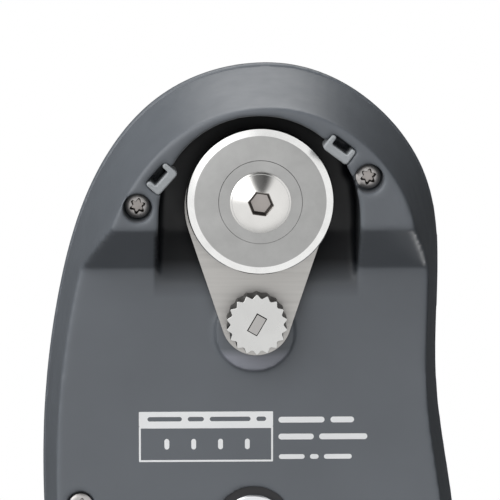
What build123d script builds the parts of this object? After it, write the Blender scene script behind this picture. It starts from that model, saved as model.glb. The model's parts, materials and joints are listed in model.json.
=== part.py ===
"""Battery-powered one-touch can opener, built piece by piece in millimetres.

+Z is up with the working side down, +X runs to the cutting head, and the origin is the
middle of the footprint on the surface that the opener stands on.
"""
from build123d import *
import math
import os

os.makedirs("parts", exist_ok=True)

# ---- housing ---------------------------------------------------------------
wall = 2.2
panel_z = 12.5            # flat underside between the head skirt and the rear heel
floor_z = panel_z + wall
seam_z = 27.0             # joint of the two housing shells
widest_z = 28.0
top_z = 57.0
skirt_inset = 5.2         # how far the skirt's face lies inside the widest outline
crown_inset = 26.0        # how far the flat crown lies inside it
seam_proud = 0.15         # the top shell overhangs the bottom shell by this much

spine_half = 56.0         # the body's sides are pulled in towards this centre line
spine_mid_y = 2.0
spine_slope = -0.045

outline_points = [
    (92.5, 1.5), (86.0, 21.0), (71.0, 32.4), (52.0, 34.7), (32.0, 34.6), (12.0, 37.3),
    (-10.0, 39.6), (-34.0, 39.8), (-56.0, 36.8), (-76.0, 29.0), (-89.0, 17.0),
    (-92.4, 3.0), (-85.0, -12.0), (-67.0, -23.5), (-45.0, -31.6), (-20.0, -37.2),
    (5.0, -39.6), (28.0, -39.5), (50.0, -36.6), (70.0, -30.4), (85.0, -19.2),
]

# ---- cutting head ----------------------------------------------------------
drive = (46.7, 0.0)       # axis of the drive wheel and final gear
pivot = (68.1, 0.0)       # axis that the eccentric hub turns on
eccentricity = 1.6
rest_angle = 22.0         # the hub rests this far round from fully open
disc = (
    pivot[0] + eccentricity * math.cos(math.radians(rest_angle)),
    pivot[1] + eccentricity * math.sin(math.radians(rest_angle)),
)
running_gap = 0.05
side_gap = 0.1

cavity = (67.4, 0.3)
cavity_r = 18.4
cavity_z = 17.0
ramp_top_x = 63.0         # between the legs the cavity's roof runs down to the panel
ramp_foot_x = 53.0
slope_top_x = 65.0        # the skirt's two legs end in a slope down to the panel
slope_foot_x = 56.0

plate_z = 9.4
plate_t = 1.8
plate_small_r = 6.5
plate_wide_r = 13.3
pad = (44.3, -0.2)        # raised pad that backs the plate's small end
pad_r = 7.4

wheel_z = 4.9
wheel_teeth = 18
wheel_tip_r = 5.66
wheel_root_r = 4.95
tang_length = 3.4
tang_width = 1.8
tang_angle = 30.0
tang_play = 0.3
shaft_r = 3.0
shaft_upper_r = 2.0
shaft_step_z = 30.0
bush_r = 4.2

disc_r = 13.6
journal_r = 4.0
journal_z = 3.8
washer_z = 3.2
dome_r = 5.6              # the cutter screw's domed head
dome_h = 2.6
screw_r = 2.0
hub_r = 5.5
spacer_r = 11.5
rivet_r = 1.2
rivet_y = 8.8
rivets_at = [(pivot[0], -rivet_y), (pivot[0], rivet_y)]

# ---- gear train ------------------------------------------------------------
base_z = 19.4
plate_gauge = 1.6
cover_z = 47.0
cover_top_z = cover_z + plate_gauge
crank_z = base_z + plate_gauge + 0.3
crank_r = 4.9
stop_turns = (-55.0, 191.0)
stop_reach = 7.5
gear_z = 23.2
third_z = 35.0
second_z = 43.0
first_z = 40.0
pillars_at = [(61.0, -12.2), (61.0, 12.2), (33.0, 14.5), (16.4, -15.2)]
bracket_posts_at = [(-7.5, -12.5), (7.0, -17.0)]
pillar_r = 2.0
pinion_teeth = 10
third_axis = (30.7, -12.0)
second_axis = (21.1, 0.8)
motor_axis = (2.2, -6.0)
motor_r = 12.0
motor_floor_z = 17.2
motor_top_z = 38.2
motor_shaft_r = 1.0
motor_screws_at = [(motor_axis[0] - 6, motor_axis[1]), (motor_axis[0] + 6, motor_axis[1])]
bracket_t = 1.2
axle_r = 1.0
bore_r = axle_r + running_gap
addendum = 0.8
dedendum = 1.1
root_share = 0.34         # half the tooth's root, as a share of the pitch
tip_share = 0.09

# ---- fasteners, battery, button --------------------------------------------
head_screws_at = [(69.0, -21.9), (74.3, 20.3)]
rear_screws_at = [(11.3, -32.7), (-6.0, 33.6), (-66.0, -18.2), (-66.0, 27.3)]
screw_head_r = 2.25
screw_shank_r = 1.3
head_screw_z = 3.7
rear_screw_z = 12.7
screw_tip_z = 33.0
boss_r = 3.3

slots = [(75.0, -18.15, 41.5), (80.4, 15.4, -53.0)]
slot_length = 3.5
slot_width = 1.65

magnet = (7.5, -0.4)
magnet_r = 5.9

bay_y = 4.2
door_width = 35.0
door_front_x = -15.0
door_gap = 0.3
door_top_z = floor_z - 0.3
ledge_z = floor_z + 1.6
heel_top_x = -79.0
heel_foot_x = -72.5
cell_r = 7.2
cell_length = 50.5
cell_front_x = -18.6
cell_z = 22.6
cell_rows = [bay_y - 7.7, bay_y + 7.7]
rear_rib_x = door_front_x - 58.2
front_rib_x = door_front_x - 1.0
rib_half = 0.8

button = (33.0, 0.0)
button_length = 24.0
button_width = 12.0
button_flange_z = 53.2
bezel_length = 31.0
bezel_width = 18.0
bezel_z = 54.6
bezel_top_z = 57.7
board_z = cover_top_z
board_t = 1.2
switch_top_z = board_z + board_t + 2.0


def save(piece, name):
    """Label a finished piece and write it to its own file."""
    piece.part.label = name
    export_step(piece.part, f"parts/{name}.step")


def bottom_inset(z):
    """Inset of the lower housing's outline at height z."""
    return skirt_inset * ((widest_z - z) / widest_z) ** 1.1


def top_inset(z):
    """Inset of the upper housing's outline at height z, an elliptical dome."""
    rise = min(1.0, max(0.0, (z - widest_z) / (top_z - widest_z)))
    return crown_inset * (1 - math.sqrt(1 - rise * rise))


def outline(inset):
    """The body's outline, pulled in towards its spine."""
    points = []
    for x, y in outline_points:
        spine_x = max(-spine_half, min(spine_half, x))
        spine_y = spine_mid_y + spine_slope * spine_x
        reach = math.hypot(x - spine_x, y - spine_y)
        keep = (reach - inset) / reach
        points.append((spine_x + (x - spine_x) * keep, spine_y + (y - spine_y) * keep))
    return points


def body_loft(levels):
    """A closed body through the outline at each (height, inset) level."""
    with BuildPart() as body:
        for z, inset in levels:
            with BuildSketch(Plane.XY.offset(z)):
                with BuildLine():
                    Spline(*outline(inset), periodic=True)
                make_face()
        loft()
    return body.part


def drum(points, radius, z0, z1):
    """One cylinder at each point, from z0 up to z1."""
    with BuildPart() as drums:
        with BuildSketch(Plane.XY.offset(z0)):
            with Locations(*points):
                Circle(radius)
        extrude(amount=z1 - z0)
    return drums.part


def tube(point, outer_r, inner_r, z0, z1):
    """A round bush or ring."""
    with BuildPart() as ring:
        with BuildSketch(Plane.XY.offset(z0)):
            with Locations(point):
                Circle(outer_r)
                Circle(inner_r, mode=Mode.SUBTRACT)
        extrude(amount=z1 - z0)
    return ring.part


def hull_plate(circles, z0, z1):
    """A flat plate whose outline wraps round the given (x, y, radius) circles."""
    with BuildPart() as plate:
        with BuildSketch(Plane.XY.offset(z0)):
            for x, y, radius in circles:
                with Locations((x, y)):
                    Circle(radius)
            make_hull()
        extrude(amount=z1 - z0)
    return plate.part


def underside_profile(z0):
    """Side view of the space under the panel, as a sketch on the XZ plane."""
    with BuildSketch(Plane.XZ) as profile:
        with BuildLine():
            Polyline(
                (heel_top_x - 0.5, z0), (heel_top_x, 0), (heel_foot_x, panel_z),
                (slope_foot_x, panel_z), (slope_top_x, 0), (slope_top_x + 0.7, z0),
                close=True,
            )
        make_face()
    return profile.sketch


def frame_outline(index):
    """Sketch of one snap frame: a U round the cavity side of its slot."""
    x, y, angle = slots[index]
    side = 1 if index == 0 else -1
    with BuildSketch(Plane.XY) as shape:
        with Locations(Location((x, y, 0), (0, 0, angle))):
            with Locations((0, side * slot_width / 2)):
                RectangleRounded(slot_length + 2.0, 2 * slot_width, 0.55)
            Rectangle(slot_length, slot_width, mode=Mode.SUBTRACT)
    return shape.sketch


def tooth_points(teeth, root_r, tip_r, root_half, tip_half, turn):
    """Corner points of a toothed ring; root_half and tip_half are shares of the pitch."""
    pitch = 2 * math.pi / teeth
    corners = ((root_r, -root_half), (tip_r, -tip_half), (tip_r, tip_half), (root_r, root_half))
    points = []
    for tooth in range(teeth):
        for radius, share in corners:
            angle = turn + (tooth + share) * pitch
            points.append((radius * math.cos(angle), radius * math.sin(angle)))
    return points


def gear_disc(axis, teeth, module, turn, bore_r, z0, z1):
    """A spur gear with one tooth centred at the angle turn, in radians."""
    pitch_r = module * teeth / 2
    points = tooth_points(
        teeth, pitch_r - dedendum * module, pitch_r + addendum * module,
        root_share, tip_share, turn,
    )
    with BuildPart() as gear:
        with BuildSketch(Plane.XY.offset(z0)):
            with Locations(axis):
                Polygon(*points, align=None)
                Circle(bore_r, mode=Mode.SUBTRACT)
        extrude(amount=z1 - z0)
    return gear.part


def bearing(start, end):
    """Direction from one axis to another, in radians."""
    return math.atan2(end[1] - start[1], end[0] - start[0])


def meshed_turn(start, end, teeth):
    """Turn of the gear at end whose tooth gap faces a tooth of the gear at start."""
    return bearing(start, end) + math.pi + math.pi / teeth


def meeting_point(a, reach_a, b, reach_b):
    """The point at these distances from a and b, to the left of the way from a to b."""
    span = math.dist(a, b)
    along = (reach_a**2 - reach_b**2 + span**2) / (2 * span)
    aside = math.sqrt(reach_a**2 - along**2)
    ux, uy = (b[0] - a[0]) / span, (b[1] - a[1]) / span
    return (a[0] + along * ux - aside * uy, a[1] + along * uy + aside * ux)


def screws(points, head_z, tip_z):
    """Pan-head self-tapping screws with six-lobe recesses, heads down."""
    with BuildPart() as group:
        with BuildSketch(Plane.XY.offset(head_z)):
            with Locations(*points):
                Circle(screw_head_r)
        extrude(amount=1.9)
        fillet(group.edges().group_by(Axis.Z)[0], radius=0.7)
        with BuildSketch(Plane.XY.offset(head_z + 1.9)):
            with Locations(*points):
                Circle(screw_shank_r)
        extrude(amount=tip_z - head_z - 1.9)
        with BuildSketch(Plane.XY.offset(head_z)):
            with Locations(*points):
                Circle(1.0)
                with PolarLocations(1.15, 6, start_angle=12):
                    Circle(0.32)
        extrude(amount=1.2, mode=Mode.SUBTRACT)
    return group


def spring(point, radius, wire_r, pitch, z0, height):
    """A round-wire compression spring standing on z0."""
    with BuildPart() as coil:
        with BuildLine() as path:
            Helix(pitch=pitch, height=height, radius=radius, center=(*point, z0))
        with BuildSketch(Plane(origin=path.line @ 0, z_dir=path.line % 0)):
            Circle(wire_r)
        sweep()
    return coil


bottom_levels = [(z, bottom_inset(z)) for z in (0, 7, 14, 21, seam_z)]
lower_void_levels = [
    (z, bottom_inset(z) + wall) for z in (floor_z, 19, 23, seam_z + 0.5)
]
top_levels = [
    (z, top_inset(z) - seam_proud) for z in (seam_z, 33, 39, 45, 50, 53.5, 56, top_z)
]
upper_void_levels = [
    (seam_z - 0.5 + (z - seam_z) * 0.94, top_inset(z) + wall)
    for z in (seam_z, 33, 39, 45, 50, 53.5, 56, top_z)
]

# ---- bottom shell ----------------------------------------------------------
with BuildPart() as bottom_shell:
    add(body_loft(bottom_levels))
    add(body_loft(lower_void_levels), mode=Mode.SUBTRACT)
    extrude(underside_profile(-1), amount=60, both=True, mode=Mode.SUBTRACT)
    # roof over the cutter cavity and its ramp
    with BuildSketch(Plane.XY.offset(floor_z)):
        with Locations(cavity):
            Circle(cavity_r + wall)
            Rectangle(20, 2 * (cavity_r + wall), align=(Align.MAX, Align.CENTER))
    extrude(amount=base_z - 0.2 - floor_z)
    # floor that frames the battery bay
    with BuildSketch(Plane.XY.offset(floor_z)):
        with BuildLine():
            Spline(*outline(bottom_inset(floor_z) + 1), periodic=True)
        make_face()
        with Locations((heel_foot_x + 61, 0)):
            Rectangle(150, 120, align=(Align.MIN, Align.CENTER), mode=Mode.SUBTRACT)
    extrude(amount=ledge_z - floor_z)
    # cutter cavity: round in front, with a ramp between the skirt's legs
    with BuildSketch(Plane.XY.offset(-1)):
        with Locations(cavity):
            Circle(cavity_r)
            Rectangle(30, 60, align=(Align.MAX, Align.CENTER), mode=Mode.SUBTRACT)
    extrude(amount=cavity_z + 1, mode=Mode.SUBTRACT)
    with BuildSketch(Plane.XZ.offset(-cavity[1])):
        with BuildLine():
            Polyline(
                (cavity[0], -1), (cavity[0], cavity_z), (ramp_top_x, cavity_z),
                (ramp_foot_x, panel_z), (ramp_foot_x, -1), close=True,
            )
        make_face()
    extrude(amount=cavity_r, both=True, mode=Mode.SUBTRACT)
    add(drum([pivot], spacer_r + 0.3, panel_z, cavity_z), mode=Mode.SUBTRACT)
    # pad under the tie plate's small end
    add(drum([pad], pad_r, plate_z + plate_t, panel_z))
    # screw bosses
    add(drum(rear_screws_at, boss_r, panel_z, seam_z))
    add(drum(head_screws_at, boss_r, floor_z, seam_z))
    # battery door recess, the door's grooves, and the bay's end ribs
    with BuildSketch(Plane.XY.offset(-1)):
        with Locations((door_front_x + door_gap, bay_y)):
            Rectangle(90, door_width + 2 * door_gap, align=(Align.MAX, Align.CENTER))
    extrude(amount=floor_z + 1, mode=Mode.SUBTRACT)
    with BuildSketch(Plane.XY.offset(panel_z + 0.6)):
        with Locations((door_front_x + door_gap - 1, bay_y)):
            Rectangle(80, door_width + 2.4, align=(Align.MAX, Align.CENTER))
    extrude(amount=1.1, mode=Mode.SUBTRACT)
    with BuildSketch(Plane.XY.offset(floor_z - 1)):
        with Locations((door_front_x - 1.8, bay_y)):
            Rectangle(55.5, 31, align=(Align.MAX, Align.CENTER))
    extrude(amount=4, mode=Mode.SUBTRACT)
    with BuildSketch(Plane.XY.offset(ledge_z)):
        with Locations((front_rib_x, bay_y), (rear_rib_x, bay_y)):
            Rectangle(2 * rib_half, 36)
    extrude(amount=9)
    # screw holes: counterbored, through the bosses
    for points, head_z in ((head_screws_at, head_screw_z), (rear_screws_at, rear_screw_z)):
        add(drum(points, screw_head_r + 0.42, -1, head_z + 2.0), mode=Mode.SUBTRACT)
        add(drum(points, screw_shank_r + 0.15, -1, seam_z + 1), mode=Mode.SUBTRACT)
    # slots for the snap frames in the skirt's face
    for x, y, angle in slots:
        with BuildSketch(Plane.XY.offset(-1)):
            with Locations(Location((x, y, 0), (0, 0, angle))):
                Rectangle(slot_length, slot_width)
        extrude(amount=9, mode=Mode.SUBTRACT)
    for index in range(len(slots)):
        extrude(frame_outline(index), amount=6, mode=Mode.SUBTRACT)
    # bores for the drive bush, the eccentric hub, the rivets and the magnet holder
    add(drum([drive], bush_r, 5, 30), mode=Mode.SUBTRACT)
    add(drum([pivot], hub_r + 0.2, 5, 30), mode=Mode.SUBTRACT)
    add(drum(rivets_at, rivet_r, 5, 30), mode=Mode.SUBTRACT)
    add(drum([magnet], magnet_r + 1.35, panel_z - 1, floor_z + 1), mode=Mode.SUBTRACT)

save(bottom_shell, "bottom_shell")

for index, side_name in enumerate(("left", "right")):
    with BuildPart() as snap_frame:
        extrude(frame_outline(index), amount=6)
        fillet(snap_frame.faces().sort_by(Axis.Z)[0].outer_wire().edges(), radius=0.25)
    save(snap_frame, f"snap_frame_{side_name}")

# ---- top shell -------------------------------------------------------------
crown = body_loft(top_levels)

with BuildPart() as top_posts:
    add(drum(rear_screws_at + head_screws_at, boss_r, seam_z, top_z))
    add(crown, mode=Mode.INTERSECT)

with BuildPart() as top_shell:
    add(crown)
    add(body_loft(upper_void_levels), mode=Mode.SUBTRACT)
    add(top_posts.part)
    add(
        drum(rear_screws_at + head_screws_at, screw_shank_r, seam_z - 1, screw_tip_z),
        mode=Mode.SUBTRACT,
    )
    with BuildSketch(Plane.XY.offset(top_z - 5)):
        with Locations(button):
            SlotOverall(bezel_length, bezel_width)
    extrude(amount=10, mode=Mode.SUBTRACT)
save(top_shell, "top_shell")

# ---- power button ----------------------------------------------------------
with BuildPart() as button_bezel:
    with BuildSketch(Plane.XY.offset(bezel_z)):
        with Locations(button):
            SlotOverall(bezel_length, bezel_width)
            SlotOverall(button_length + 0.8, button_width + 0.8, mode=Mode.SUBTRACT)
    extrude(amount=bezel_top_z - bezel_z)
    fillet(button_bezel.faces().sort_by(Axis.Z)[-1].edges(), radius=0.6)
save(button_bezel, "button_bezel")

with BuildPart() as power_button:
    with BuildSketch(Plane.XY.offset(button_flange_z)):
        with Locations(button):
            SlotOverall(button_length + 3, button_width + 3)
    extrude(amount=1.2)
    with BuildSketch(Plane.XY.offset(button_flange_z)):
        with Locations(button):
            SlotOverall(button_length, button_width)
    extrude(amount=5.6)
    fillet(power_button.faces().sort_by(Axis.Z)[-1].edges(), radius=1.6)
    with BuildSketch(Plane.XY.offset(button_flange_z - 0.6)):
        with Locations(button):
            Circle(1.6)
    extrude(amount=1)
save(power_button, "power_button")

with BuildPart() as switch_plunger:
    add(drum([button], 1.5, switch_top_z - 0.3, button_flange_z - 0.6))
save(switch_plunger, "switch_plunger")

with BuildPart() as switch_body:
    with BuildSketch(Plane.XY.offset(board_z + board_t)):
        with Locations(button):
            RectangleRounded(6.2, 6.2, 0.4)
    extrude(amount=switch_top_z - board_z - board_t)
    with Locations((*button, switch_top_z)):
        Hole(radius=1.7, depth=1.6)
save(switch_body, "switch_body")

with BuildPart() as circuit_board:
    with BuildSketch(Plane.XY.offset(board_z)):
        with Locations((button[0] - 4, button[1])):
            RectangleRounded(30, 17, 1)
    extrude(amount=board_t)
save(circuit_board, "circuit_board")

# the coil's wire, 0.3 mm in radius, just touches the board and the button's flange
button_spring = spring(
    button, 5.0, 0.3, 0.95, board_z + board_t + 0.32, button_flange_z - board_z - board_t - 0.66
)
save(button_spring, "button_spring")

# ---- housing screws --------------------------------------------------------
save(screws(head_screws_at, head_screw_z, screw_tip_z), "head_screws")
save(screws(rear_screws_at, rear_screw_z, screw_tip_z), "rear_screws")

# ---- cutting head ----------------------------------------------------------
with BuildPart() as tie_plate:
    add(
        hull_plate(
            [(*drive, plate_small_r), (*pivot, plate_wide_r)], plate_z, plate_z + plate_t
        )
    )
    add(drum([drive], bush_r, plate_z - 1, plate_z + 3), mode=Mode.SUBTRACT)
    add(drum([pivot], hub_r + running_gap, plate_z - 1, plate_z + 3), mode=Mode.SUBTRACT)
    add(drum(rivets_at, rivet_r, plate_z - 1, plate_z + 3), mode=Mode.SUBTRACT)
save(tie_plate, "tie_plate")

with BuildPart() as plate_spacer:
    add(tube(pivot, spacer_r, hub_r + 0.2, plate_z + plate_t, cavity_z))
    add(drum(rivets_at, rivet_r, plate_z, cavity_z + 1), mode=Mode.SUBTRACT)
save(plate_spacer, "plate_spacer")

with BuildPart() as plate_rivets:
    add(drum(rivets_at, rivet_r, plate_z, base_z + plate_gauge))
save(plate_rivets, "plate_rivets")

with BuildPart() as drive_wheel:
    with BuildSketch(Plane.XY.offset(wheel_z)):
        with Locations(drive):
            Polygon(
                *tooth_points(wheel_teeth, wheel_root_r, wheel_tip_r, 0.44, 0.05, 0.0),
                align=None,
            )
            with Locations(Location((0, 0, 0), (0, 0, tang_angle))):
                Rectangle(tang_length + tang_play, tang_width + tang_play, mode=Mode.SUBTRACT)
    extrude(amount=plate_z - side_gap - wheel_z)
save(drive_wheel, "drive_wheel")

with BuildPart() as drive_shaft:
    with BuildSketch(Plane.XY.offset(wheel_z - 0.15)):
        with Locations(Location((*drive, 0), (0, 0, tang_angle))):
            Rectangle(tang_length, tang_width)
    extrude(amount=plate_z - side_gap - wheel_z + 0.15)
    add(drum([drive], shaft_r, plate_z - side_gap, shaft_step_z))
    add(drum([drive], shaft_upper_r, shaft_step_z, board_z + 0.6))
save(drive_shaft, "drive_shaft")

bush_top_z = base_z + plate_gauge + 1
with BuildPart() as shaft_bush_lower:
    add(tube(drive, bush_r, shaft_r + running_gap, plate_z, bush_top_z))
    add(tube(drive, 6.0, bush_r, base_z + plate_gauge, bush_top_z))
save(shaft_bush_lower, "shaft_bush_lower")

with BuildPart() as shaft_bush_upper:
    add(tube(drive, 3.5, shaft_upper_r + running_gap, cover_z - 1, cover_z + plate_gauge))
    add(tube(drive, 5.0, 3.5, cover_z - 1, cover_z))
save(shaft_bush_upper, "shaft_bush_upper")

# disc section, as (radius, height) from the bore outwards: hub, cone, bevel, edge, back
disc_section = [
    (journal_r + running_gap, 3.9), (7.65, 3.9), (7.65, 4.05), (12.05, 4.6),
    (disc_r, 5.7), (disc_r, 5.9), (12.6, 7.4), (8.5, 7.4), (7.3, 9.1),
    (journal_r + running_gap, 9.1),
]
with BuildPart() as cutter_disc:
    with BuildSketch(Plane(origin=(*disc, 0), x_dir=(1, 0, 0), z_dir=(0, -1, 0))):
        Polygon(*disc_section, align=None)
    revolve(axis=Axis((*disc, 0), (0, 0, 1)))
save(cutter_disc, "cutter_disc")

with BuildPart() as eccentric_hub:
    add(drum([disc], journal_r, journal_z, 9.2))
    add(drum([pivot], hub_r, 9.2, base_z + plate_gauge + 0.2))
    add(drum([pivot], 3.5, base_z + plate_gauge + 0.2, gear_z + 0.6))
    add(drum([disc], screw_r, 3, 12), mode=Mode.SUBTRACT)
save(eccentric_hub, "eccentric_hub")

with BuildPart() as hub_washer:
    add(tube(disc, 5.3, screw_r, washer_z, journal_z))
save(hub_washer, "hub_washer")

with BuildPart() as cutter_screw:
    ball_r = (dome_r**2 + dome_h**2) / (2 * dome_h)
    with Locations((*disc, washer_z - dome_h + ball_r)):
        Sphere(ball_r)
    with Locations((*disc, washer_z)):
        Box(30, 30, 30, align=(Align.CENTER, Align.CENTER, Align.MIN), mode=Mode.SUBTRACT)
    add(drum([disc], screw_r, washer_z, 12))
    with BuildSketch(Plane.XY.offset(0)):
        with Locations(Location((*disc, 0), (0, 0, 8))):
            RegularPolygon(2.0, 6, major_radius=False)
    extrude(amount=3.0, mode=Mode.SUBTRACT)
save(cutter_screw, "cutter_screw")

with BuildPart() as hub_crank:
    add(hull_plate([(*pivot, crank_r), (pivot[0] + 8, 0, 2.0)], crank_z, crank_z + 1.6))
    add(drum([pivot], 3.5, crank_z - 1, crank_z + 3), mode=Mode.SUBTRACT)
save(hub_crank, "hub_crank")

with BuildPart() as hub_clip:
    add(tube(pivot, crank_r, 3.5, crank_z + 1.6, crank_z + 2.3))
save(hub_clip, "hub_clip")

with BuildPart() as lid_magnet:
    add(drum([magnet], magnet_r, 11.9, 15.6))
    fillet(lid_magnet.edges().group_by(Axis.Z)[0], radius=0.5)
save(lid_magnet, "lid_magnet")

with BuildPart() as magnet_holder:
    add(drum([magnet], magnet_r + 1.35, 13.1, 16.8))
    add(drum([magnet], magnet_r, 13, 15.6), mode=Mode.SUBTRACT)
save(magnet_holder, "magnet_holder")

# ---- gearbox ---------------------------------------------------------------
# the first gear meshes with the motor's pinion and with the second gear
first_axis = meeting_point(
    motor_axis, 0.5 * (pinion_teeth + 40) / 2, second_axis, 0.6 * (pinion_teeth + 36) / 2
)

with BuildPart() as gearbox_base:
    add(
        hull_plate(
            [(*drive, 9), (pivot[0], 0, 12), (*third_axis, 5), (*second_axis, 5)]
            + [(x, y, 3.5) for x, y in pillars_at],
            base_z, base_z + plate_gauge,
        )
    )
    add(drum([drive], bush_r, base_z - 1, base_z + 3), mode=Mode.SUBTRACT)
    add(drum([pivot], hub_r + running_gap, base_z - 1, base_z + 3), mode=Mode.SUBTRACT)
    add(drum(rivets_at, rivet_r, base_z - 1, base_z + 3), mode=Mode.SUBTRACT)
    add(drum([third_axis, second_axis], axle_r, base_z - 1, base_z + 3), mode=Mode.SUBTRACT)
    with BuildSketch(Plane.XY.offset(base_z + plate_gauge)):
        for turn in stop_turns:
            with Locations(pivot):
                with PolarLocations(stop_reach, 1, start_angle=turn):
                    Circle(1.0)
    extrude(amount=crank_z + 1.6 - base_z - plate_gauge)
save(gearbox_base, "gearbox_base")

with BuildPart() as gearbox_pillars:
    add(drum(pillars_at, pillar_r, base_z + plate_gauge, cover_z))
save(gearbox_pillars, "gearbox_pillars")

with BuildPart() as gearbox_cover:
    add(
        hull_plate(
            [(*drive, 7), (*third_axis, 5), (*second_axis, 5), (*first_axis, 5)]
            + [(x, y, 3) for x, y in bracket_posts_at]
            + [(x, y, 3.5) for x, y in pillars_at],
            cover_z, cover_top_z,
        )
    )
    add(drum([drive], 3.5, cover_z - 1, cover_top_z + 1), mode=Mode.SUBTRACT)
    add(
        drum([third_axis, second_axis, first_axis], axle_r, cover_z - 1, cover_top_z + 1),
        mode=Mode.SUBTRACT,
    )
save(gearbox_cover, "gearbox_cover")

with BuildPart() as gearbox_screws:
    add(drum(pillars_at, pillar_r, cover_top_z, cover_top_z + 1.4))
    with BuildSketch(Plane.XY.offset(cover_top_z + 1.4)):
        with Locations(*pillars_at):
            Rectangle(0.5, 2.4)
            Rectangle(2.4, 0.5)
    extrude(amount=-0.8, mode=Mode.SUBTRACT)
save(gearbox_screws, "gearbox_screws")

with BuildPart() as final_gear:
    add(gear_disc(drive, 30, 1.0, bearing(drive, third_axis), shaft_r, gear_z, gear_z + 5))
save(final_gear, "final_gear")

with BuildPart() as third_gear:
    add(
        gear_disc(
            third_axis, pinion_teeth, 1.0,
            meshed_turn(drive, third_axis, pinion_teeth), bore_r, gear_z - 0.4, third_z,
        )
    )
    add(
        gear_disc(
            third_axis, 30, 0.8, bearing(third_axis, second_axis), bore_r,
            third_z, third_z + 3,
        )
    )
save(third_gear, "third_gear")

with BuildPart() as second_gear:
    add(
        gear_disc(
            second_axis, pinion_teeth, 0.8,
            meshed_turn(third_axis, second_axis, pinion_teeth), bore_r,
            third_z - 0.4, third_z + 3.4,
        )
    )
    add(tube(second_axis, 2.5, bore_r, third_z + 3.4, second_z))
    add(
        gear_disc(
            second_axis, 36, 0.6, bearing(second_axis, first_axis), bore_r,
            second_z, second_z + 2.5,
        )
    )
save(second_gear, "second_gear")

with BuildPart() as first_gear:
    add(
        gear_disc(
            first_axis, pinion_teeth, 0.6,
            meshed_turn(second_axis, first_axis, pinion_teeth), bore_r,
            first_z + 2.4, second_z + 3,
        )
    )
    add(
        gear_disc(
            first_axis, 40, 0.5, bearing(first_axis, motor_axis), bore_r,
            first_z, first_z + 2.4,
        )
    )
save(first_gear, "first_gear")

with BuildPart() as gear_axles:
    add(drum([third_axis, second_axis], axle_r, base_z, cover_top_z))
    add(drum([first_axis], axle_r, motor_top_z, cover_top_z))
save(gear_axles, "gear_axles")

# ---- motor -----------------------------------------------------------------
with BuildPart() as motor_bracket:
    add(
        hull_plate(
            [(*motor_axis, motor_r + 0.5), (*first_axis, 4)],
            motor_top_z, motor_top_z + bracket_t,
        )
    )
    add(drum([first_axis], axle_r, motor_top_z - 1, motor_top_z + 3), mode=Mode.SUBTRACT)
    add(drum([motor_axis], 3.2, motor_top_z - 1, motor_top_z + 3), mode=Mode.SUBTRACT)
    add(drum(motor_screws_at, 1.0, motor_top_z - 1, motor_top_z + 3), mode=Mode.SUBTRACT)
    add(drum(bracket_posts_at, 1.8, motor_top_z + bracket_t, cover_z))
save(motor_bracket, "motor_bracket")

with BuildPart() as motor_screws:
    add(drum(motor_screws_at, 1.0, motor_top_z - 0.8, motor_top_z + bracket_t))
save(motor_screws, "motor_screws")

with BuildPart() as motor_can:
    add(drum([motor_axis], motor_r, motor_floor_z + 2, motor_top_z))
    add(drum([motor_axis], motor_r - 0.8, motor_floor_z, motor_top_z - 0.8), mode=Mode.SUBTRACT)
    add(
        drum([motor_axis], motor_shaft_r + running_gap, motor_top_z - 2, motor_top_z + 1),
        mode=Mode.SUBTRACT,
    )
    add(drum(motor_screws_at, 1.0, motor_top_z - 2, motor_top_z + 1), mode=Mode.SUBTRACT)
save(motor_can, "motor_can")

with BuildPart() as motor_end_cap:
    add(drum([motor_axis], motor_r, motor_floor_z, motor_floor_z + 2))
    add(drum([motor_axis], motor_r - 0.8, motor_floor_z + 2, motor_floor_z + 3.5))
    with Locations((*motor_axis, motor_floor_z + 3.5)):
        Hole(radius=motor_shaft_r + running_gap, depth=2.7)
save(motor_end_cap, "motor_end_cap")

with BuildPart() as motor_magnets:
    with BuildSketch(Plane.XY.offset(motor_floor_z + 4.5)):
        with Locations(motor_axis):
            Circle(motor_r - 0.8)
            Circle(9.3, mode=Mode.SUBTRACT)
            Rectangle(30, 7, mode=Mode.SUBTRACT)
    extrude(amount=14)
save(motor_magnets, "motor_magnets")

with BuildPart() as motor_rotor:
    with BuildSketch(Plane.XY.offset(motor_floor_z + 5)):
        with Locations(motor_axis):
            Circle(8.9)
            with PolarLocations(6.6, 3):
                Rectangle(5.4, 1.8, mode=Mode.SUBTRACT)
            Circle(motor_shaft_r, mode=Mode.SUBTRACT)
    extrude(amount=13)
save(motor_rotor, "motor_rotor")

with BuildPart() as motor_shaft:
    add(drum([motor_axis], motor_shaft_r, motor_floor_z + 1, first_z + 2.8))
save(motor_shaft, "motor_shaft")

with BuildPart() as motor_pinion:
    add(
        gear_disc(
            motor_axis, pinion_teeth, 0.5,
            meshed_turn(first_axis, motor_axis, pinion_teeth), motor_shaft_r,
            first_z - 0.2, first_z + 2.8,
        )
    )
save(motor_pinion, "motor_pinion")

# ---- battery compartment ---------------------------------------------------
heel_body_levels = [(z, bottom_inset(z)) for z in (0, 7, 14, 21)]
heel_void_levels = [(z, bottom_inset(z) + wall) for z in (wall, 7, 14, 21)]

with BuildPart() as heel_void:
    add(body_loft(heel_void_levels))
    with Locations((heel_foot_x - 2.4, 0, 0)):
        Box(40, 120, 120, align=(Align.MAX, Align.CENTER, Align.CENTER), mode=Mode.INTERSECT)
    with BuildSketch(Plane.XZ):
        with BuildLine():
            Polyline(
                (heel_top_x - 2.4, 0), (heel_foot_x - 2.4, panel_z), (heel_foot_x - 2.4, 30),
                (heel_foot_x + 9, 30), (heel_foot_x + 9, 0), close=True,
            )
        make_face()
    extrude(amount=80, both=True, mode=Mode.SUBTRACT)
    with Locations((heel_top_x, bay_y, 0)):
        Box(60, door_width - 2 * wall, 60, mode=Mode.INTERSECT)

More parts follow.
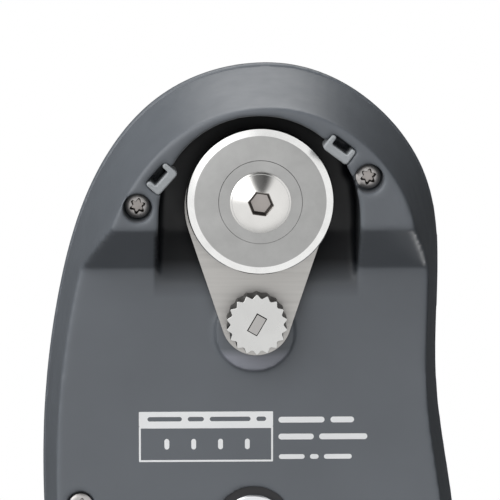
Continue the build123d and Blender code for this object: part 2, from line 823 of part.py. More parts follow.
with BuildPart() as battery_door:
    with BuildSketch(Plane.XY):
        with Locations((door_front_x, bay_y)):
            Rectangle(90, door_width, align=(Align.MAX, Align.CENTER))
    extrude(amount=door_top_z)
    add(body_loft(heel_body_levels), mode=Mode.INTERSECT)
    extrude(underside_profile(-1), amount=60, both=True, mode=Mode.SUBTRACT)
    add(heel_void.part, mode=Mode.SUBTRACT)
    # tongues that run in the shell's grooves, and a thumb grip
    with BuildSketch(Plane.XY.offset(panel_z + 0.75)):
        with Locations((door_front_x - 2, bay_y)):
            Rectangle(52, door_width + 2.0, align=(Align.MAX, Align.CENTER))
    extrude(amount=0.8)
    with BuildSketch(Plane.XY.offset(panel_z)):
        with Locations((door_front_x - 14, bay_y)):
            with GridLocations(2.6, 0, 5, 1):
                SlotOverall(16, 1.2, rotation=90)
    extrude(amount=0.7, mode=Mode.SUBTRACT)
save(battery_door, "battery_door")

cell_ends = [(cell_front_x - cell_length, 1), (cell_front_x, -1)]
for index, row in enumerate(cell_rows):
    end_x, way = cell_ends[index]
    with BuildPart() as battery_cell:
        with BuildSketch(Plane(origin=(end_x, row, cell_z), x_dir=(0, 1, 0), z_dir=(way, 0, 0))):
            Circle(cell_r)
        extrude(amount=cell_length - 1.2)
        fillet(battery_cell.edges(), radius=0.6)
        with BuildSketch(
            Plane(
                origin=(end_x + way * (cell_length - 1.2), row, cell_z),
                x_dir=(0, 1, 0), z_dir=(way, 0, 0),
            )
        ):
            Circle(2.6)
        extrude(amount=1.2)
    save(battery_cell, f"battery_cell_{index + 1}")

with BuildPart() as contact_bridge:
    with Locations((rear_rib_x + rib_half, bay_y, cell_z)):
        Box(0.5, 27, 8, align=(Align.MIN, Align.CENTER, Align.CENTER))
save(contact_bridge, "contact_bridge")

with BuildPart() as contact_tabs:
    for row in cell_rows:
        with Locations((front_rib_x - rib_half, row, cell_z)):
            Box(0.5, 9, 8, align=(Align.MAX, Align.CENTER, Align.CENTER))
save(contact_tabs, "contact_tabs")
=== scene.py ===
"""Looks of the can opener: moulded shells, turned and plated steel, print, light and camera."""
import json
import math

import bmesh
import bpy
from mathutils import Matrix, Vector


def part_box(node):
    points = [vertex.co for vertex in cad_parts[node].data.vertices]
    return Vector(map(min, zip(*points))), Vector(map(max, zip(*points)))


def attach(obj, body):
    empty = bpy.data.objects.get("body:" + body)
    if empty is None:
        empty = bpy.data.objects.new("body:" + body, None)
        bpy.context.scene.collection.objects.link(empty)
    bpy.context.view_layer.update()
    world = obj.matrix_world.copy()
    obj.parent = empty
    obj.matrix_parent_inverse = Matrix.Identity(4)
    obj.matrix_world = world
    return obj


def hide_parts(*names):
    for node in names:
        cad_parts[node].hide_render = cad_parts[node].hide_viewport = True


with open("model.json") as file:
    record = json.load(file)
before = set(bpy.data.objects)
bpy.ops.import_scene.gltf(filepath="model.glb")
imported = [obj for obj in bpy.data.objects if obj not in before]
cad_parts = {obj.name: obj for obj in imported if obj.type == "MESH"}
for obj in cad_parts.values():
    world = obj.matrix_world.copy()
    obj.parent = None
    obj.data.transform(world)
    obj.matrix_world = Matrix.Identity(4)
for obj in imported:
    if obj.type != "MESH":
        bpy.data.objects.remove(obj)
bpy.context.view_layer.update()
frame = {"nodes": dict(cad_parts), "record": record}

MM = 0.001
scene = bpy.context.scene


def low(node):
    """The lowest corner of a node's box."""
    return Vector(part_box(node)[0])


def high(node):
    """The highest corner of a node's box."""
    return Vector(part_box(node)[1])


def middle(node):
    """The centre of a node's box."""
    return (low(node) + high(node)) / 2


drive = middle("drive_wheel")
disc = middle("cutter_disc")
magnet = middle("lid_magnet")
panel_z = 12.5 * MM
cavity = (67.4 * MM, 0.3 * MM)
cavity_r = 18.4 * MM
pad = (44.3 * MM, -0.2 * MM)
pad_r = 7.4 * MM
joints = {joint["name"]: joint for joint in frame["record"]["behaviour"]["joints"]}
pivot = Vector(joints["cutter_swing"]["pos_m"])


# ---- materials -------------------------------------------------------------
def material(name, color, roughness, metallic=0.0, **sockets):
    """A Principled material; returns it with its node tree and shader."""
    made = bpy.data.materials.new(name)
    made.use_nodes = True
    shader = made.node_tree.nodes["Principled BSDF"]
    shader.inputs["Base Color"].default_value = (*color, 1)
    shader.inputs["Roughness"].default_value = roughness
    shader.inputs["Metallic"].default_value = metallic
    for socket, value in sockets.items():
        shader.inputs[socket.replace("_", " ")].default_value = value
    return made, made.node_tree, shader


def coords(tree, scale=(1, 1, 1), centre=(0, 0, 0)):
    """Object coordinates in metres, moved to centre and scaled."""
    source = tree.nodes.new("ShaderNodeTexCoord")
    mapping = tree.nodes.new("ShaderNodeMapping")
    mapping.inputs["Scale"].default_value = scale
    mapping.inputs["Location"].default_value = [-c * s for c, s in zip(centre, scale)]
    tree.links.new(source.outputs["Object"], mapping.inputs["Vector"])
    return mapping.outputs["Vector"]


def noise(tree, vector, scale, detail=4.0, roughness=0.5):
    """Fractal noise with so many lumps per metre."""
    node = tree.nodes.new("ShaderNodeTexNoise")
    node.inputs["Scale"].default_value = scale
    node.inputs["Detail"].default_value = detail
    node.inputs["Roughness"].default_value = roughness
    tree.links.new(vector, node.inputs["Vector"])
    return node.outputs["Fac"]


def spread(tree, value, start_at, end_at, start=0.3, end=0.7):
    """Maps a texture value from start..end to start_at..end_at."""
    node = tree.nodes.new("ShaderNodeMapRange")
    node.inputs["From Min"].default_value = start
    node.inputs["From Max"].default_value = end
    node.inputs["To Min"].default_value = start_at
    node.inputs["To Max"].default_value = end_at
    tree.links.new(value, node.inputs["Value"])
    return node.outputs["Result"]


def tint(tree, shader, value, color, amount):
    """Lets the base colour drift by this share to each side."""
    node = tree.nodes.new("ShaderNodeMix")
    node.data_type = "RGBA"
    node.inputs["A"].default_value = (*[c * (1 - amount) for c in color], 1)
    node.inputs["B"].default_value = (*[min(1, c * (1 + amount)) for c in color], 1)
    tree.links.new(spread(tree, value, 0, 1), node.inputs["Factor"])
    tree.links.new(node.outputs["Result"], shader.inputs["Base Color"])


def bump(tree, shader, height, strength, distance):
    """Relief from a texture value; distance in metres."""
    node = tree.nodes.new("ShaderNodeBump")
    node.inputs["Strength"].default_value = strength
    node.inputs["Distance"].default_value = distance
    tree.links.new(height, node.inputs["Height"])
    tree.links.new(node.outputs["Normal"], shader.inputs["Normal"])


def moulded(name, color, roughness, grain=1.0, gloss=0.35, **sockets):
    """Moulded plastic: a fine spark-eroded texture, slow tone and gloss changes."""
    made, tree, shader = material(name, color, roughness, **sockets)
    shader.inputs["Specular IOR Level"].default_value = gloss
    plain = coords(tree)
    tint(tree, shader, noise(tree, plain, 60, 3), color, 0.05)
    cloud = noise(tree, plain, 220, 4)
    tree.links.new(
        spread(tree, cloud, roughness - 0.04, roughness + 0.05), shader.inputs["Roughness"]
    )
    bump(tree, shader, noise(tree, plain, 3500, 2), 0.12 * grain, 0.05 * MM)
    return made


def turned(name, color, roughness, centre, pitch=0.35, depth=0.2):
    """Steel turned on a lathe: fine rings round centre, with anisotropic gloss."""
    made, tree, shader = material(name, color, roughness, 1.0, Anisotropic=0.35)
    tangent = tree.nodes.new("ShaderNodeTangent")
    tangent.direction_type = "RADIAL"
    tangent.axis = "Z"
    tree.links.new(tangent.outputs["Tangent"], shader.inputs["Tangent"])
    spot = coords(tree, centre=centre)
    rings = tree.nodes.new("ShaderNodeTexWave")
    rings.wave_type = "RINGS"
    rings.rings_direction = "Z"
    rings.inputs["Scale"].default_value = 1 / (pitch * MM * 20)
    rings.inputs["Distortion"].default_value = 1.2
    rings.inputs["Detail"].default_value = 3
    tree.links.new(spot, rings.inputs["Vector"])
    bump(tree, shader, rings.outputs["Fac"], depth, 0.01 * MM)
    tree.links.new(
        spread(tree, noise(tree, spot, 180, 5, 0.6), roughness - 0.05, roughness + 0.07),
        shader.inputs["Roughness"],
    )
    tint(tree, shader, noise(tree, spot, 260, 5, 0.65), color, 0.06)
    return made


def brushed(name, color, roughness, along="Y", depth=0.3):
    """Sheet steel brushed along one axis."""
    made, tree, shader = material(name, color, roughness, 1.0, Anisotropic=0.3)
    scale = (1, 0.03, 1) if along == "Y" else (0.03, 1, 1)
    streaks = noise(tree, coords(tree, scale), 4200, 3, 0.7)
    bump(tree, shader, streaks, depth, 0.01 * MM)
    tree.links.new(
        spread(tree, streaks, roughness - 0.06, roughness + 0.08), shader.inputs["Roughness"]
    )
    tint(tree, shader, noise(tree, coords(tree, scale), 1500, 4), color, 0.05)
    return made


def plated(name, color, roughness, wear=0.03):
    """Bright plating with faint handling marks."""
    made, tree, shader = material(name, color, roughness, 1.0)
    plain = coords(tree)
    marks = noise(tree, plain, 420, 6, 0.65)
    tree.links.new(
        spread(tree, marks, roughness, roughness + wear), shader.inputs["Roughness"]
    )
    bump(tree, shader, noise(tree, plain, 900, 3), wear, 0.01 * MM)
    tint(tree, shader, noise(tree, plain, 260, 3), color, 0.03)
    return made


def calculate(tree, operation, first, second):
    """The result of a Math node; the second value may be a number."""
    node = tree.nodes.new("ShaderNodeMath")
    node.operation = operation
    tree.links.new(first, node.inputs[0])
    if isinstance(second, (int, float)):
        node.inputs[1].default_value = second
    else:
        tree.links.new(second, node.inputs[1])
    return node.outputs["Value"]


def distance(tree, x, y):
    """The length of a level vector, from its two coordinates."""
    place = tree.nodes.new("ShaderNodeCombineXYZ")
    tree.links.new(x, place.inputs["X"])
    tree.links.new(y, place.inputs["Y"])
    away = tree.nodes.new("ShaderNodeVectorMath")
    away.operation = "LENGTH"
    tree.links.new(place.outputs["Vector"], away.inputs[0])
    return away.outputs["Value"]


def repaint(tree, shader, shares, color):
    """Blends a colour over the base colour by the product of the shares."""
    share = shares[0]
    for other in shares[1:]:
        share = calculate(tree, "MULTIPLY", share, other)
    blend = tree.nodes.new("ShaderNodeMix")
    blend.data_type = "RGBA"
    blend.inputs["B"].default_value = (*color, 1)
    tree.links.new(share, blend.inputs["Factor"])
    tree.links.new(shader.inputs["Base Color"].links[0].from_socket, blend.inputs["A"])
    tree.links.new(blend.outputs["Result"], shader.inputs["Base Color"])


def head_with_painted_light(made):
    """Paints light and shade into the lower shell's plastic: a near-black painted shade in the cutter
    cavity and a pale painted highlight on the pad's tail edge.
    """
    tree = made.node_tree
    shader = tree.nodes["Principled BSDF"]
    split = tree.nodes.new("ShaderNodeSeparateXYZ")
    tree.links.new(coords(tree), split.inputs["Vector"])
    x, y, z = (split.outputs[axis] for axis in "XYZ")

    # painted shade in the cavity: near black, round in front, with straight sides towards the tail
    ahead = calculate(tree, "MAXIMUM", calculate(tree, "SUBTRACT", x, cavity[0]), 0)
    away = distance(tree, ahead, y)
    inside = spread(tree, away, 1, 0, cavity_r + 0.2 * MM, cavity_r + 0.8 * MM)
    deep = spread(tree, z, 0, 1, 0.3 * MM, 2.6 * MM)
    past_ramp = spread(tree, x, 0, 1, 50.5 * MM, 57.5 * MM)
    # the near-black colour is painted shade, fading out along the ramp towards the tail
    repaint(tree, shader, (inside, deep, past_ramp), (0.006, 0.007, 0.009))

    # the pad below the plate: a painted highlight, paler plastic on its tail side where light catches
    # its rim
    from_pad = (calculate(tree, "SUBTRACT", x, pad[0]), calculate(tree, "SUBTRACT", y, pad[1]))
    on_pad = spread(tree, distance(tree, *from_pad), 1, 0, pad_r - 0.2 * MM, pad_r + 0.3 * MM)
    tailward = spread(tree, x, 1, 0, 39.6 * MM, 41.2 * MM)
    on_face = spread(tree, z, 1, 0, 13 * MM, 14 * MM)
    repaint(tree, shader, (on_pad, tailward, on_face), (0.26, 0.27, 0.31))
    return made


shell_grey = (0.122, 0.134, 0.150)
shell_plastic = moulded("shell_plastic", shell_grey, 0.36)
head_plastic = head_with_painted_light(moulded("head_plastic", shell_grey, 0.36))
clip_plastic = moulded("clip_plastic", (0.35, 0.37, 0.385), 0.42, 1.6)
button_plastic = moulded("button_plastic", (0.33, 0.34, 0.36), 0.36)
black_plastic = moulded("black_plastic", (0.02, 0.02, 0.022), 0.45)
acetal = moulded("acetal", (0.78, 0.77, 0.72), 0.38)
ivory = moulded("ivory", (0.7, 0.68, 0.62), 0.4)
laminate = moulded("laminate", (0.03, 0.16, 0.07), 0.35)
sleeve = moulded("sleeve", (0.03, 0.03, 0.035), 0.28, 0.4, Coat_Weight=0.3)
ferrite = moulded("ferrite", (0.05, 0.05, 0.052), 0.7, 2.0)
print_ink = moulded("print_ink", (0.86, 0.87, 0.88), 0.55, 0.4, 0.2)
disc_steel = turned("disc_steel", (0.38, 0.38, 0.375), 0.36, disc, 0.35, 0.3)
# painted highlight: the ground bevel is given much paler steel than the turned face so that it shines
bevel_highlight_steel = turned("bevel_highlight_steel", (0.80, 0.80, 0.79), 0.2, disc, 0.3, 0.1)
dome_steel = plated("dome_steel", (0.72, 0.71, 0.69), 0.16)
socket_steel = plated("socket_steel", (0.36, 0.335, 0.32), 0.3, 0.15)
wheel_nickel = plated("wheel_nickel", (0.60, 0.60, 0.59), 0.26, 0.05)
shaft_steel = plated("shaft_steel", (0.42, 0.41, 0.40), 0.3, 0.1)
plate_steel = brushed("plate_steel", (0.43, 0.42, 0.405), 0.38, "Y", 0.12)
zinc_steel = brushed("zinc_steel", (0.58, 0.58, 0.57), 0.4, "X")
screw_nickel = plated("screw_nickel", (0.42, 0.405, 0.395), 0.34, 0.1)
# painted shade: near-black steel for the drive wheel's tooth flanks, standing in for the shade
# between the teeth
flank_shade_steel = plated("flank_shade_steel", (0.035, 0.034, 0.033), 0.4, 0.1)
# painted shade: near-black plating for the walls of the screw sockets, where shade falls in the
# recess
recess_shade_nickel = plated("recess_shade_nickel", (0.05, 0.046, 0.043), 0.4, 0.1)
magnet_nickel = plated("magnet_nickel", (0.74, 0.75, 0.77), 0.2, 0.05)
bezel_plating = plated("bezel_plating", (0.62, 0.63, 0.65), 0.2, 0.05)
hub_steel = turned("hub_steel", (0.5, 0.5, 0.49), 0.35, disc)
bronze = plated("bronze", (0.55, 0.36, 0.16), 0.4, 0.1)
core_steel = brushed("core_steel", (0.35, 0.24, 0.15), 0.5)

FINISH = {
    shell_plastic: ["battery_door"],
    button_plastic: ["power_button"],
    bezel_plating: ["button_bezel"],
    shaft_steel: ["drive_shaft"],
    plate_steel: ["plate_spacer", "plate_rivets"],
    screw_nickel: [
        "gearbox_screws", "motor_screws", "gear_axles", "gearbox_pillars", "hub_clip",
        "motor_shaft",
    ],
    hub_steel: ["eccentric_hub", "hub_crank", "hub_washer"],
    magnet_nickel: ["button_spring", "contact_bridge", "contact_tabs"],
    bronze: ["shaft_bush_lower", "shaft_bush_upper", "motor_pinion"],
    black_plastic: ["magnet_holder", "motor_end_cap", "switch_body"],
    ivory: ["switch_plunger"],
    acetal: ["final_gear", "third_gear", "second_gear", "first_gear"],
    zinc_steel: ["gearbox_base", "gearbox_cover", "motor_bracket", "motor_can"],
    ferrite: ["motor_magnets"],
    core_steel: ["motor_rotor"],
    laminate: ["circuit_board"],
    sleeve: ["battery_cell_1", "battery_cell_2"],
}
for finish, nodes in FINISH.items():
    for node in nodes:
        for material_slot in frame["nodes"][node].material_slots:
            material_slot.material = finish


# ---- mesh helpers ----------------------------------------------------------
def add_object(name, mesh):
    """An object for a mesh, in the scene."""
    made = bpy.data.objects.new(name, mesh)
    scene.collection.objects.link(made)
    return made


def settle(obj):
    """Bakes an object's modifiers, or its curve, into a mesh."""
    graph = bpy.context.evaluated_depsgraph_get()
    mesh = bpy.data.meshes.new_from_object(obj.evaluated_get(graph))
    name = obj.name
    bpy.data.objects.remove(obj)
    return add_object(name, mesh)


def finish_piece(piece, body, slot, *nodes):
    """Rides a piece on its body in place of the CAD nodes that it stands for."""
    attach(piece, body)
    if nodes:
        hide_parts(*nodes)
    return piece


def smooth_by_angle(piece, degrees=35):
    """Smooth shading, with edges sharper than the angle kept crisp."""
    mesh = piece.data
    mesh.shade_smooth()
    mesh.set_sharp_from_angle(angle=math.radians(degrees))
    return piece


level_spot = (68.4 * MM, 24.0 * MM)
level_spot_r = 3.1 * MM
weld_gap = 0.002 * MM


def softened(node, name, voxel, rounds, finish, body, soft_zone=None):
    """A moulded copy of a CAD node: remeshed finely, with its edges rounded.

    A shell with a soft_zone is smoothed further there, and its face is kept level at
    level_spot, where the remesh would leave a faint dent.
    """
    source = frame["nodes"][node]
    mesh = source.data.copy()
    offset = Vector((0.37, 0.41, 0.5)) * voxel
    mesh.transform(Matrix.Translation(offset) @ source.matrix_world)
    weld = bmesh.new()
    weld.from_mesh(mesh)
    bmesh.ops.remove_doubles(weld, verts=weld.verts, dist=weld_gap)
    weld.to_mesh(mesh)
    weld.free()
    piece = add_object(name, mesh)
    remesh = piece.modifiers.new("remesh", "REMESH")
    remesh.mode = "VOXEL"
    remesh.voxel_size = voxel
    piece = settle(piece)
    piece.data.transform(Matrix.Translation(-offset))
    smooth = piece.modifiers.new("smooth", "SMOOTH")
    smooth.iterations = rounds
    if soft_zone:
        group = piece.vertex_groups.new(name="soft")
        for vertex in piece.data.vertices:
            weight = soft_zone(vertex.co)
            if weight > 0:
                group.add([vertex.index], weight, "REPLACE")
        extra = piece.modifiers.new("extra", "SMOOTH")
        extra.iterations = 10
        extra.vertex_group = "soft"
    piece = settle(piece)
    face_z = low(node).z
    for vertex in piece.data.vertices:
        vertex.co.z = max(vertex.co.z, face_z)
        if soft_zone and vertex.co.z < face_z + 1.2 * MM:
            away = math.hypot(vertex.co.x - level_spot[0], vertex.co.y - level_spot[1])
            if away < level_spot_r:
                vertex.co.z = face_z
    piece.data.shade_smooth()
    piece.data.materials.clear()
    piece.data.materials.append(finish)
    return finish_piece(piece, body, "housing_plastic", node)


def lathe(name, centre, profile, segments=160):
    """A turned solid: (radius, height, material index) rings round the axis at centre."""
    mesh = bpy.data.meshes.new(name)
    shape = bmesh.new()
    turns = [2 * math.pi * step / segments for step in range(segments)]
    rings = [
        [
            shape.verts.new((centre[0] + r * math.cos(t), centre[1] + r * math.sin(t), z))
            for t in turns
        ]
        for r, z, _ in profile
    ]
    for number, (_, _, index) in enumerate(profile):
        inner = rings[number]
        outer = rings[(number + 1) % len(rings)]
        for step in range(segments):
            after = (step + 1) % segments
            face = shape.faces.new((inner[step], inner[after], outer[after], outer[step]))
            face.material_index = index
    bmesh.ops.recalc_face_normals(shape, faces=shape.faces)
    shape.to_mesh(mesh)
    shape.free()
    return add_object(name, mesh)


def plate(name, outlines, z0, z1, bevel, finish):
    """A flat plate cut to its outlines, holes after the first, with rounded edges."""
    curve = bpy.data.curves.new(name, "CURVE")
    curve.dimensions = "2D"
    curve.fill_mode = "BOTH"
    for outline in outlines:
        spline = curve.splines.new("POLY")
        spline.points.add(len(outline) - 1)
        for point, (x, y) in zip(spline.points, outline):
            point.co = (x, y, 0, 1)
        spline.use_cyclic_u = True
    curve.extrude = (z1 - z0) / 2 - bevel
    curve.bevel_depth = bevel
    curve.bevel_resolution = 3
    curve.offset = -bevel
    holder = bpy.data.objects.new(name, curve)
    scene.collection.objects.link(holder)
    piece = settle(holder)
    piece.data.transform(Matrix.Translation((0, 0, (z0 + z1) / 2)))
    piece.data.materials.clear()
    piece.data.materials.append(finish)
    return smooth_by_angle(piece, 40)


def circle(centre, radius, count=72):
    """Points of a circle, anticlockwise."""
    turns = [2 * math.pi * step / count for step in range(count)]
    return [(centre[0] + radius * math.cos(t), centre[1] + radius * math.sin(t)) for t in turns]


def recessed_head(name, centre, head_r, socket, depth, dome, finishes, skirt_z):
    """A screw head seen from below: a domed face round a shaped socket.

    socket(angle) is the socket's radius, dome(radius) the face's height, depth the
    height of the socket's bottom and skirt_z that of the head's back. finishes are
    those of the face, of the socket's wall and of its floor.
    """
    segments = 144
    face_rows = 18
    face_finish, wall_finish, floor_finish = range(3)
    shape = bmesh.new()
    rows = []

    def ring(radius_at, height_at):
        """One closed row of vertices."""
        row = []
        for step in range(segments):
            turn = 2 * math.pi * step / segments
            r = radius_at(turn)
            place = (centre[0] + r * math.cos(turn), centre[1] + r * math.sin(turn))
            row.append(shape.verts.new((*place, height_at(r))))
        rows.append(row)

    ring(lambda turn: socket(turn) * 0.3, lambda r: depth)
    ring(lambda turn: socket(turn) * 0.8, lambda r: depth)
    ring(lambda turn: socket(turn) * 0.93, lambda r: depth - 0.12 * head_r)
    ring(socket, lambda r: dome(r) + 0.05 * head_r)
    for row in range(face_rows + 1):
        share = row / face_rows
        ring(
            lambda turn, s=share: socket(turn) * 1.06 * (1 - s) + head_r * s,
            dome,
        )
    ring(lambda turn: head_r, lambda r: skirt_z)
    row_finishes = [floor_finish, wall_finish, wall_finish] + [face_finish] * len(rows)
    for row, following, finish in zip(rows, rows[1:], row_finishes):
        for step in range(segments):
            after = (step + 1) % segments
            face = shape.faces.new((row[step], row[after], following[after], following[step]))
            face.material_index = finish
    shape.faces.new(rows[0]).material_index = floor_finish
    shape.faces.new(rows[-1]).material_index = face_finish
    bmesh.ops.recalc_face_normals(shape, faces=shape.faces)
    mesh = bpy.data.meshes.new(name)
    shape.to_mesh(mesh)
    shape.free()
    for finish in finishes:
        mesh.materials.append(finish)
    return smooth_by_angle(add_object(name, mesh), 40)


# ---- shells ----------------------------------------------------------------
head_screws_at = [(69.0, -21.9), (74.3, 20.3)]
rear_screws_at = [(11.3, -32.7), (-6.0, 33.6), (-66.0, -18.2), (-66.0, 27.3)]
small_cuts = [middle("snap_frame_left"), middle("snap_frame_right")]
small_cuts += [Vector((x, y, 0)) * MM for x, y in head_screws_at]


def head_softness(place):
    """How soft the moulding's edges are: most round the head, not beside small cuts."""
    if place.z > 20 * MM or place.x < 36 * MM:
        return 0.0
    share = 1.0
    for spot in small_cuts:
        away = math.hypot(place.x - spot[0], place.y - spot[1])
        share = min(share, max(0.0, (away - 2.6 * MM) / (2.6 * MM)))
    away = math.hypot(place.x - pad[0], place.y - pad[1])
    return min(share, max(0.0, (away - pad_r - 1.2 * MM) / (3 * MM)))


softened(
    "bottom_shell", "bottom_shell_moulding", 0.5 * MM, 5, head_plastic, "housing",
    head_softness,
)
softened("top_shell", "top_shell_moulding", 0.7 * MM, 5, shell_plastic, "housing")

# ---- cutting head ----------------------------------------------------------
bore_r = 4.05
# radius and height in millimetres, and 1 where the ground bevel with its paler painted-highlight
# steel starts
disc_rings = [
    (bore_r, 3.9, 0), (7.5, 3.9, 0), (7.62, 3.92, 0), (7.72, 4.04, 0), (12.0, 4.58, 0),
    (12.12, 4.62, 1), (13.36, 4.98, 1), (13.53, 5.24, 1), (13.6, 5.72, 0), (13.6, 5.88, 0),
    (12.6, 7.4, 0), (8.5, 7.4, 0), (7.3, 9.1, 0), (bore_r, 9.1, 0),
]
cutter = lathe("cutter_disc_turned", disc, [(r * MM, z * MM, i) for r, z, i in disc_rings], 220)
cutter.data.materials.append(disc_steel)
cutter.data.materials.append(bevel_highlight_steel)
smooth_by_angle(cutter, 12)
finish_piece(cutter, "cutter", "turned_steel", "cutter_disc")

dome_r = 5.6 * MM
dome_h = 2.6 * MM
dome_low = low("cutter_screw").z
hexagon_turn = math.radians(8)


def hexagon(angle):
    """Radius of the 4 mm hexagon socket in a direction."""
    turn = (angle - hexagon_turn + math.pi / 6) % (math.pi / 3) - math.pi / 6
    return 2.0 * MM / math.cos(turn)


def dome_height(radius):
    """Height of the cutter screw's domed face."""
    return dome_low + dome_h * (radius / dome_r) ** 1.5


hexagon_floor_z = 3.0 * MM
dome = recessed_head(
    "cutter_screw_dome", disc, dome_r, hexagon, hexagon_floor_z, dome_height,
    [dome_steel, recess_shade_nickel, socket_steel], dome_low + dome_h + 0.25 * MM,
)
finish_piece(dome, "hub", "polished_steel", "cutter_screw")

tooth_count = 18
root_r = 4.95 * MM
tip_r = 5.6 * MM
foot_r = 5.35 * MM  # the roots' radius at the back, so the gaps slope
teeth = []
for tooth in range(tooth_count):
    for radius, share in ((root_r, -0.42), (tip_r, -0.06), (tip_r, 0.06), (root_r, 0.42)):
        turn = 2 * math.pi * (tooth + share) / tooth_count
        offset = Vector((math.cos(turn), math.sin(turn), 0)) * radius
        teeth.append((drive + offset)[:2])
tang_turn = Matrix.Rotation(math.radians(30), 3, "Z")
tang_hole = []
for x, y in ((-1.85, -1.05), (1.85, -1.05), (1.85, 1.05), (-1.85, 1.05)):
    tang_hole.append((drive + tang_turn @ Vector((x, y, 0)) * MM)[:2])
wheel = plate(
    "drive_wheel_cut", [teeth, tang_hole], low("drive_wheel").z, high("drive_wheel").z,
    0.09 * MM, wheel_nickel,
)
wheel.data.materials.append(flank_shade_steel)
for vertex in wheel.data.vertices:
    reach = Vector((vertex.co.x - drive[0], vertex.co.y - drive[1]))
    if vertex.co.z > drive.z and 4 * MM < reach.length < foot_r:
        reach = reach.normalized() * foot_r
        vertex.co.x = drive[0] + reach.x
        vertex.co.y = drive[1] + reach.y
# the flanks take the near-black painted-shade steel
for polygon in wheel.data.polygons:
    is_flank = abs(polygon.normal.z) < 0.55
    polygon.material_index = int(is_flank)
finish_piece(wheel, "drive", "nickel_steel", "drive_wheel")

small_r = 6.5 * MM
wide_r = 13.3 * MM
arc_steps = 48
lean = math.asin((wide_r - small_r) / (pivot[0] - drive[0]))
tie_outline = []
for centre, radius, start, sweep in (
    (pivot, wide_r, -math.pi / 2 - lean, math.pi + 2 * lean),
    (drive, small_r, math.pi / 2 + lean, math.pi - 2 * lean),
):
    for step in range(arc_steps + 1):
        turn = start + sweep * step / arc_steps
        tie_outline.append((centre[0] + radius * math.cos(turn), radius * math.sin(turn)))
tie = plate(
    "tie_plate_brushed",
    [tie_outline, circle(pivot, 5.55 * MM), circle(drive, 4.2 * MM)],
    low("tie_plate").z, high("tie_plate").z, 0.12 * MM, plate_steel,
)
finish_piece(tie, "housing", "brushed_plate", "tie_plate")

# ---- screws and magnet -----------------------------------------------------
screw_head_r = 2.25 * MM


def six_lobe(angle):
    """Radius of the six-lobe recess in a direction."""
    return (1.18 + 0.24 * math.cos(6 * (angle - math.radians(12)))) * MM


for node, spots in (("head_screws", head_screws_at), ("rear_screws", rear_screws_at)):
    face_z = low(node).z
    for number, (x, y) in enumerate(spots):
        head = recessed_head(
            f"{node}_{number + 1}_face", (x * MM, y * MM), screw_head_r, six_lobe,
            face_z + 1.2 * MM,
            lambda radius, z=face_z: z + 0.34 * MM * (radius / screw_head_r) ** 5,
            [screw_nickel, recess_shade_nickel, socket_steel], face_z + 1.9 * MM,
        )
        finish_piece(head, "housing", "screw_steel", node)

magnet_rings = [
    (0.3, 11.9, 0), (5.3, 11.9, 0), (5.55, 11.95, 0), (5.76, 12.08, 0), (5.88, 12.28, 0),
    (5.9, 12.5, 0), (5.9, 15.5, 0), (0.3, 15.5, 0),
]
disc_magnet = lathe("lid_magnet_plated", magnet, [(r * MM, z * MM, i) for r, z, i in magnet_rings])
disc_magnet.data.materials.append(magnet_nickel)
smooth_by_angle(disc_magnet)
finish_piece(disc_magnet, "housing", "magnet_nickel", "lid_magnet")

# ---- snap frames -----------------------------------------------------------
# half of a U round the cavity side of a slot, from the inside of its bend to an arm's
# end and back round the outside, in millimetres
half_frame = [
    (-1.5, 0.9), (-1.7, 0.7), (-1.72, -0.35), (-1.95, -0.62), (-2.45, -0.62), (-2.7, -0.35),
    (-2.75, 1.9), (-2.6, 2.3), (-2.2, 2.5),
]
frame_outline = half_frame + [(-x, y) for x, y in reversed(half_frame)]
for node, spot, turn, side in (
    ("snap_frame_left", (75.0, -18.15), 41.5, 1), ("snap_frame_right", (80.4, 15.4), -53.0, -1),
):
    spin = Matrix.Rotation(math.radians(turn), 3, "Z")
    outline = []
    for x, y in frame_outline:
        point = spin @ Vector((x, y * side, 0)) + Vector((*spot, 0))
        outline.append((point.x * MM, point.y * MM))
    clip = plate(
        f"{node}_moulded", [outline], low(node).z, high(node).z, 0.3 * MM, clip_plastic
    )
    finish_piece(clip, "housing", "clip_plastic", node)


# ---- print on the panel ----------------------------------------------------
def bar(x, y0, y1, half, radius=None):
    """Outline of a rounded bar across the panel at x, from y0 to y1, in millimetres."""
    radius = radius or half
    points = []
    for cx, cy, start in (
        (x + half - radius, y1 - radius, 90), (x + half - radius, y0 + radius, 0),
        (x - half + radius, y0 + radius, -90), (x - half + radius, y1 - radius, -180),
    ):
        for step in range(7):
            turn = math.radians(start - 15 * step)
            across = cy + radius * math.sin(turn)
            points.append(((cx + radius * math.cos(turn)) * MM, across * MM))
    return points


def printed(name, outlines):
    """A thin printed shape on the panel."""
    piece = plate(name, outlines, panel_z - 0.02 * MM, panel_z + 0.02 * MM, 0.001 * MM, print_ink)
    return finish_piece(piece, "housing", "clip_plastic")


# printed shapes in millimetres: x is along the body, y across it
header_gaps = ((-20.2, 6.4), (-12.7, 3.0), (-8.6, 7.6), (0.1, 1.8))
printed(
    "print_header",
    [bar(27.7, -21.8, 3.2, 1.4, 0.15)]
    + [bar(27.7, y, y + length, 0.42) for y, length in header_gaps],
)
printed("print_frame", [bar(22.95, -21.8, 3.2, 3.35, 0.15), bar(22.95, -21.45, 2.85, 3.0, 0.1)])
for number, y in enumerate((-16.6, -11.6, -6.6, -1.6)):
    printed(f"print_mark_{number + 1}", [bar(22.95, y - 0.45, y + 0.45, 1.0, 0.45)])
print_rows = (
    (27.5, 0.55, ((4.2, 8.6), (13.9, 4.4))),
    (24.3, 0.55, ((4.2, 6.6), (11.8, 9.0))),
    (20.5, 0.45, ((4.3, 4.8), (10.1, 1.6), (12.7, 5.2))),
)
for row, (x, half, words) in enumerate(print_rows):
    for number, (y, length) in enumerate(words):
        printed(f"print_row_{row + 1}_{number + 1}", [bar(x, y, y + length, half)])

# ---- light -----------------------------------------------------------------
scene.view_settings.view_transform = "Standard"
world = bpy.data.worlds.new("studio")
scene.world = world
world.use_nodes = True
sky = world.node_tree
background = sky.nodes["Background"]
background.inputs["Color"].default_value = (1, 1, 1, 1)
compass = sky.nodes.new("ShaderNodeTexCoord")


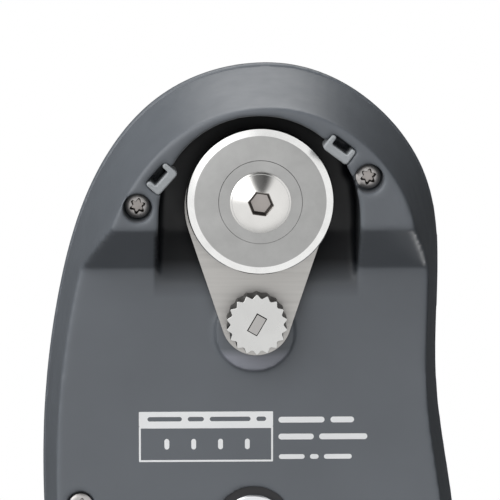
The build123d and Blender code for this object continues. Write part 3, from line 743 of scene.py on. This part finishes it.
def glow(direction, inner, outer, strength):
    """A soft round light in the sky: full within inner degrees of direction, none past outer."""
    dot = sky.nodes.new("ShaderNodeVectorMath")
    dot.operation = "DOT_PRODUCT"
    dot.inputs[1].default_value = Vector(direction).normalized()
    sky.links.new(compass.outputs["Generated"], dot.inputs[0])
    level = sky.nodes.new("ShaderNodeMapRange")
    level.interpolation_type = "SMOOTHSTEP"
    level.inputs["From Min"].default_value = math.cos(math.radians(outer))
    level.inputs["From Max"].default_value = math.cos(math.radians(inner))
    level.inputs["To Max"].default_value = strength
    sky.links.new(dot.outputs["Value"], level.inputs["Value"])
    return level.outputs["Result"]


def plus(first, second):
    """The sum of two sky values; the second may be a number."""
    return calculate(sky, "ADD", first, second)


def switched(ray, first, second):
    """The second sky value for one kind of ray and the first for all others."""
    node = sky.nodes.new("ShaderNodeMix")
    sky.links.new(path.outputs[ray], node.inputs["Factor"])
    sky.links.new(first, node.inputs["A"])
    if isinstance(second, float):
        node.inputs["B"].default_value = second
    else:
        sky.links.new(second, node.inputs["B"])
    return node.outputs["Result"]


path = sky.nodes.new("ShaderNodeLightPath")
dim = 0.035
lamps = plus(glow((-1.0, 0.1, 0.8), 16, 34, 3.0), dim)
lamps = plus(lamps, glow((1.0, 0.0, 0.9), 14, 30, 2.0))
lamps = plus(lamps, glow((0.86, -0.72, -0.38), 12, 56, 2.4))
shining = plus(lamps, glow((0.22, -0.08, -1.0), 22, 46, 1.35))
# reflections see one wide pale tent below the object instead, with a dark gap in it
tent = plus(lamps, glow((0, 0, -1), 70, 86, 1.0))
gap = glow((0.835, 0.02, -0.55), 10, 34, -0.95)
mirrored = calculate(sky, "MULTIPLY", tent, plus(gap, 1.0))
level = switched("Is Camera Ray", switched("Is Glossy Ray", shining, mirrored), 1.0)
sky.links.new(level, background.inputs["Strength"])

# ---- floor, seen from above only -------------------------------------------
floor_mesh = bpy.data.meshes.new("floor")
floor_half = 3.0
floor_corners = [(x * floor_half, y * floor_half, 0) for x, y in ((-1, -1), (1, -1), (1, 1), (-1, 1))]
floor_mesh.from_pydata(floor_corners, [], [(0, 1, 2, 3)])
floor = add_object("floor", floor_mesh)
floor_paint, floor_tree, floor_shader = material("floor_paint", (0.8, 0.8, 0.79), 0.6)
geometry = floor_tree.nodes.new("ShaderNodeNewGeometry")
clear = floor_tree.nodes.new("ShaderNodeBsdfTransparent")
mix = floor_tree.nodes.new("ShaderNodeMixShader")
floor_tree.links.new(geometry.outputs["Backfacing"], mix.inputs["Fac"])
floor_tree.links.new(floor_shader.outputs["BSDF"], mix.inputs[1])
floor_tree.links.new(clear.outputs["BSDF"], mix.inputs[2])
floor_tree.links.new(mix.outputs["Shader"], floor_tree.nodes["Material Output"].inputs["Surface"])
floor.data.materials.append(floor_paint)
floor.visible_shadow = False
floor.visible_diffuse = False
floor.visible_glossy = False
floor.visible_transmission = False

# ---- camera ----------------------------------------------------------------
# below the head, looking up at it, with the nose at the top of the picture
lens = bpy.data.cameras.new("camera")
lens.lens = 306.7
lens.clip_start = 0.05
lens.clip_end = 20
camera = bpy.data.objects.new("camera", lens)
scene.collection.objects.link(camera)
scene.camera = camera
camera.location = (0.176, -0.022, -0.7675)
target = Vector((0.0595, -0.0011, 0.0125))
forward = (target - camera.location).normalized()
right = forward.cross(Vector((1, 0, 0))).normalized()
up = right.cross(forward)
camera.rotation_euler = Matrix((right, up, -forward)).transposed().to_euler()
